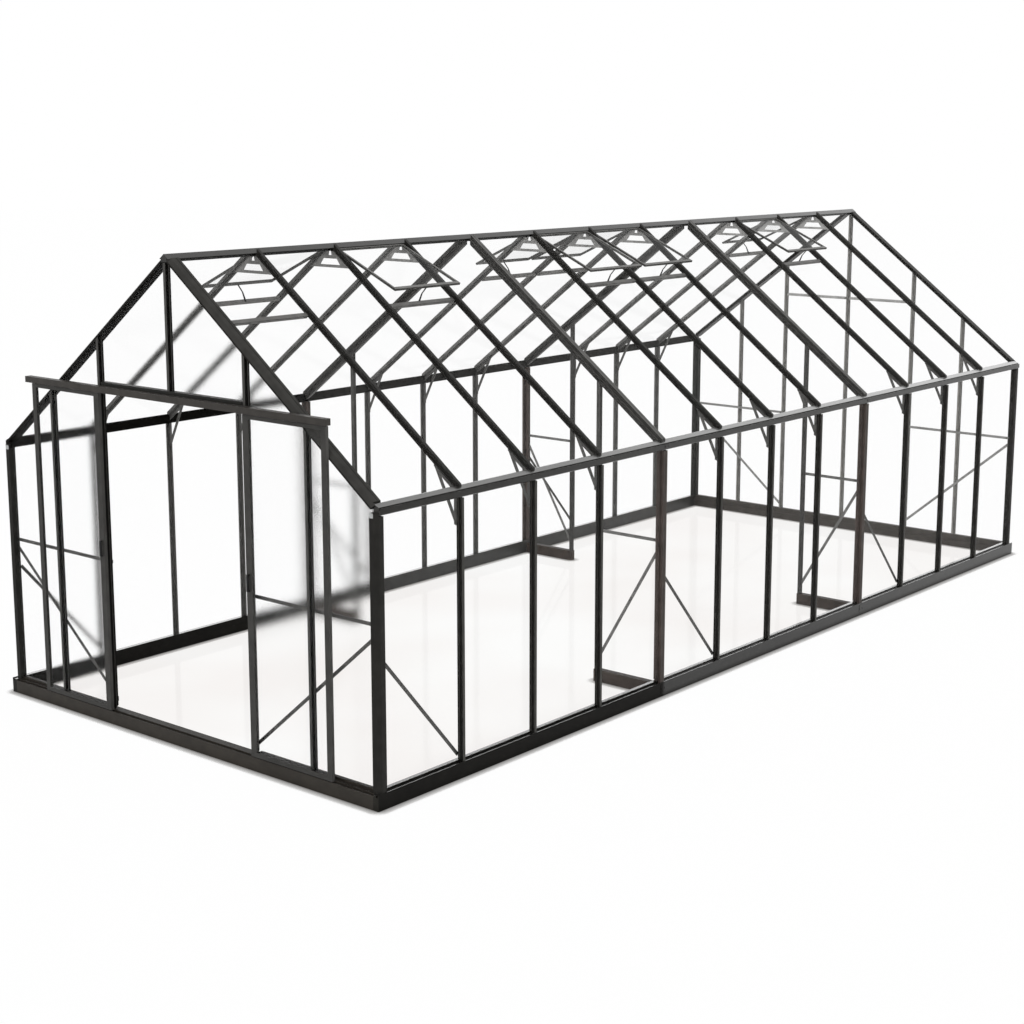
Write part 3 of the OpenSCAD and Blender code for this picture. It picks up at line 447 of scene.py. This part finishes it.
# A screw near each end of every flat brace, on the face towards the doors, or towards +X in a wall
for braces, towards in (("gable_braces", -Y), ("knee_braces", -Y), ("wall_braces", X),
                        ("portal_braces", -Y)):
    bm = bmesh.new()
    for mid, long_axis, thin_axis, length, thick in bars_of(braces):
        out = thin_axis if thin_axis.dot(towards) > 0 else -thin_axis
        for end in (-1, 1):
            to_end = long_axis * end * (length / 2 - SCREW_FROM_END)
            screw(bm, mid + to_end + out * thick / 2, out, BRACE_SCREW_R)
    add_piece(braces + "_screws", bm, FIXING, "frame_paint")

# Plates over the joints between the sections, on the base rails and the eaves:
# (rails, slot, the plate's height and its middle as shares of the rail's height, its width)
for rails, slot, high, middle, wide in (("base_rail", "rail_paint", 0.6, 0.5, 0.055),
                                        ("eaves", "gutter_paint", 0.3, 0.45, 0.045)):
    bm = bmesh.new()
    for side, sx in (("left", -1), ("right", 1)):
        lo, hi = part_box(rails + "_" + side)
        tall = hi.z - lo.z
        for k in range(1, SECTIONS):
            at = Vector((lo.x if sx < 0 else hi.x, line_0 + SECTION * k, lo.z + tall * middle))
            rounded_plate(bm, at, Y * sx, Z, wide, tall * high)
            for sy in (-1, 1):
                screw(bm, at + X * sx * PLATE_T + Y * sy * wide * 0.3, X * sx, PLATE_SCREW_R)
    add_piece(rails + "_joint_plates", bm, PAINT[rails + "_right"], slot)

# Bright square plates where the eaves meet the corner posts
CORNER_PLATE = 0.026
PLATE_INWARD = 0.036  # from the post's outer side
PLATE_ABOVE = 0.006  # the eave's underside
bm = bmesh.new()
eave_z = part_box("eaves_right")[0].z
for sx in (-1, 1):
    for y, sy in ((front_y, -1), (back_y, 1)):
        at = Vector((sx * (half_w - PLATE_INWARD), y, eave_z + PLATE_ABOVE))
        rounded_plate(bm, at, X * -sy, Z, CORNER_PLATE, CORNER_PLATE)
        screw(bm, at + Y * sy * PLATE_T, Y * sy, PLATE_SCREW_R)
add_piece("corner_plates", bm, STEEL, "dark_fittings")

# ---- Floor: white. The camera sees mostly its own colour, with painted shadow on it: a narrow contact shadow
# and a light shadow inside the footprint, where there is also a faint mirror image.
FLOOR_HALF = 60.0
FLOOR_BELOW = 0.001
SHADOW_REACH = 0.055
CONTACT_SHADOW = ((0.45, 0.17), (0.9, 0.6), (0.99, 1.0))  # (how open a point is, how bright)
OWN_COLOUR = 0.98  # the rest is lit by the room
MIRROR_PART = 0.07
EDGE_SOFT = 0.05

mesh = bpy.data.meshes.new("floor")
mesh.from_pydata([(sx * FLOOR_HALF, sy * FLOOR_HALF, 0)
                  for sx, sy in ((-1, -1), (1, -1), (1, 1), (-1, 1))], [], [(0, 1, 2, 3)])
floor = bpy.data.objects.new("floor", mesh)
bpy.context.scene.collection.objects.link(floor)
floor.location.z = -FLOOR_BELOW
floor_material, n, l = new_material("floor")


def inside(axis, half):
    """1 between -half and half along the axis, 0 outside, with a soft edge."""
    where = part_of(n, l, n.new("ShaderNodeNewGeometry").outputs["Position"], axis)
    return spread(n, l, calculate(n, l, "ABSOLUTE", where), half, half - EDGE_SOFT)


lit = node(n, "ShaderNodeBsdfDiffuse", (0.97, 0.97, 0.97))
near = node(n, "ShaderNodeAmbientOcclusion", Distance=SHADOW_REACH)
near.samples = 8
# Painted contact shadow: ambient occlusion darkens the floor's own colour next to the object.
contact_shadow = ramp(n, l, near.outputs["AO"], [(at, (v, v ** 1.02, v ** 1.04)) for at, v in CONTACT_SHADOW])
within = calculate(n, l, "MULTIPLY", inside("X", half_w), inside("Y", back_y))
# Painted shadow inside the footprint, faintly mottled.
footprint_shadow = ramp(n, l, noise(n, l, 0.55, 2.0),
                 ((0.35, srgb(249, 246, 244)), (0.65, srgb(255, 255, 254))))
ground = blend(n, l, within, constant(n, (1, 1, 1)), footprint_shadow)
# The floor's self-lit colour, with the contact shadow and the footprint's shadow painted into it.
own = node(n, "ShaderNodeEmission", Strength=1.0)
l.new(blend(n, l, 1.0, ground, contact_shadow, "MULTIPLY"), own.inputs["Color"])
matt = mix_shaders(n, l, OWN_COLOUR, lit.outputs[0], own.outputs[0])
mirror = node(n, "ShaderNodeBsdfGlossy", Roughness=0.08)
seen = mix_shaders(n, l, calculate(n, l, "MULTIPLY", within, MIRROR_PART), matt,
                   mirror.outputs[0])
put_out(n, l, mix_shaders(n, l, shown_directly(n, l), lit.outputs[0], seen))
mesh.materials.append(floor_material)

# ---- Light: an even white room, which lights the object a little less than it shows
world = bpy.data.worlds.new("studio")
bpy.context.scene.world = world
world.use_nodes = True
n, l = world.node_tree.nodes, world.node_tree.links
n.clear()
light = node(n, "ShaderNodeBackground", (1, 1, 1), Strength=0.9)
shown = node(n, "ShaderNodeBackground", (1, 1, 1), Strength=1.0)
room = mix_shaders(n, l, shown_directly(n, l), light.outputs[0], shown.outputs[0])
put_out(n, l, room, "ShaderNodeOutputWorld")

# ---- Camera: at the photograph's viewing angle
CAMERA_AT = (7.7635, line_0 - 6.3351, 3.4558)
CAMERA_TURN = (79.3771, -0.0110, 39.8389)  # degrees
cam_data = bpy.data.cameras.new("camera")
cam_data.lens = 63.1639
cam_data.sensor_width = 36
cam_data.shift_x = -0.0048
cam_data.shift_y = -0.0433
cam_data.clip_end = 200
cam = bpy.data.objects.new("camera", cam_data)
bpy.context.scene.collection.objects.link(cam)
cam.location = CAMERA_AT
cam.rotation_euler = [math.radians(a) for a in CAMERA_TURN]
bpy.context.scene.camera = cam
bpy.context.scene.view_settings.view_transform = "Standard"
bpy.context.scene.cycles.transparent_max_bounces = 64  # a view crosses many clear sheets
